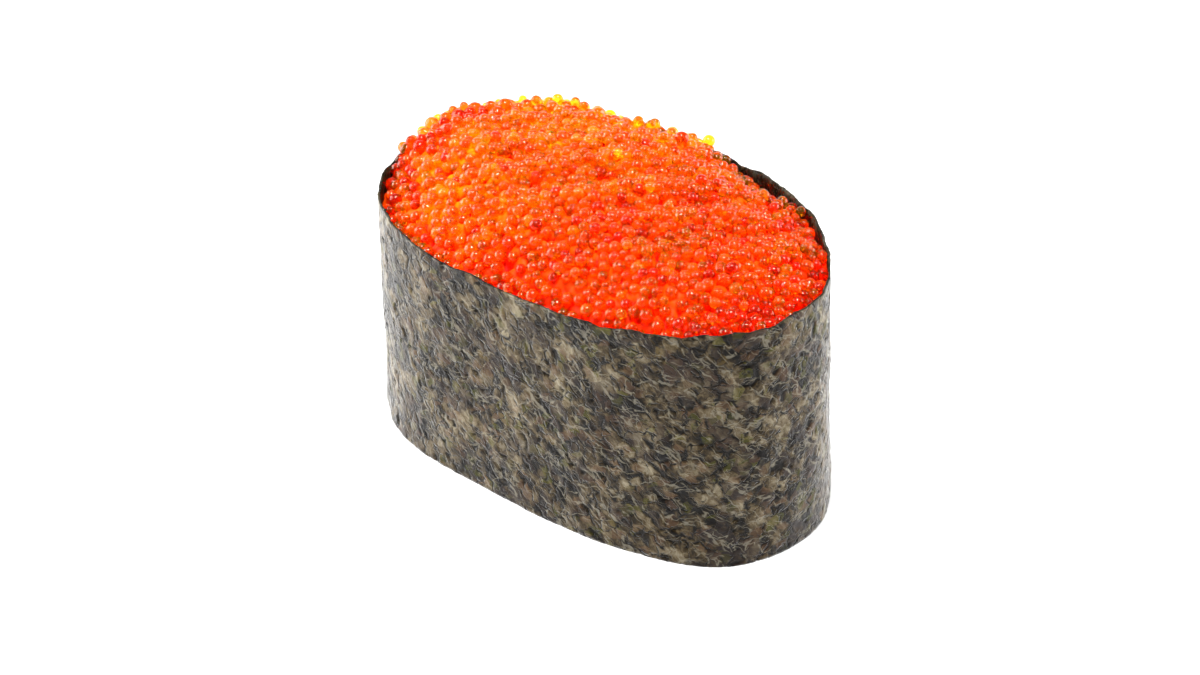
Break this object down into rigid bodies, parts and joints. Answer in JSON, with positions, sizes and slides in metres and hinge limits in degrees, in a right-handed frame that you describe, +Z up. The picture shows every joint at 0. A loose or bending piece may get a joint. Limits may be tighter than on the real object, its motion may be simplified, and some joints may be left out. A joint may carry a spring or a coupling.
{
  "type": "gunkan sushi",
  "caption": "Oval gunkan sushi: a band of mottled nori round pressed rice, heaped over its rim with small orange fish roe.",
  "frame": {"origin": "middle of the underside, on the surface that the piece stands on", "axes": "+X along the long axis, towards the slightly narrower end; +Y towards the rounder long side, where the nori's end is stuck down; +Z up"},
  "size_m": [0.0526, 0.0349, 0.0306],
  "materials": {
    "nori": "dried seaweed sheet, mottled grey-green and brown, with fine pale fibres, dark pits and a soft sheen",
    "rice": "cooked short-grain rice, moist and slightly translucent",
    "roe": "wet, translucent orange eggs with small bright highlights"
  },
  "bodies": {
    "root": {"nori_wrap": "nori", "rice_bed": "rice", "roe_heap": "roe"}
  },
  "joints": []
}
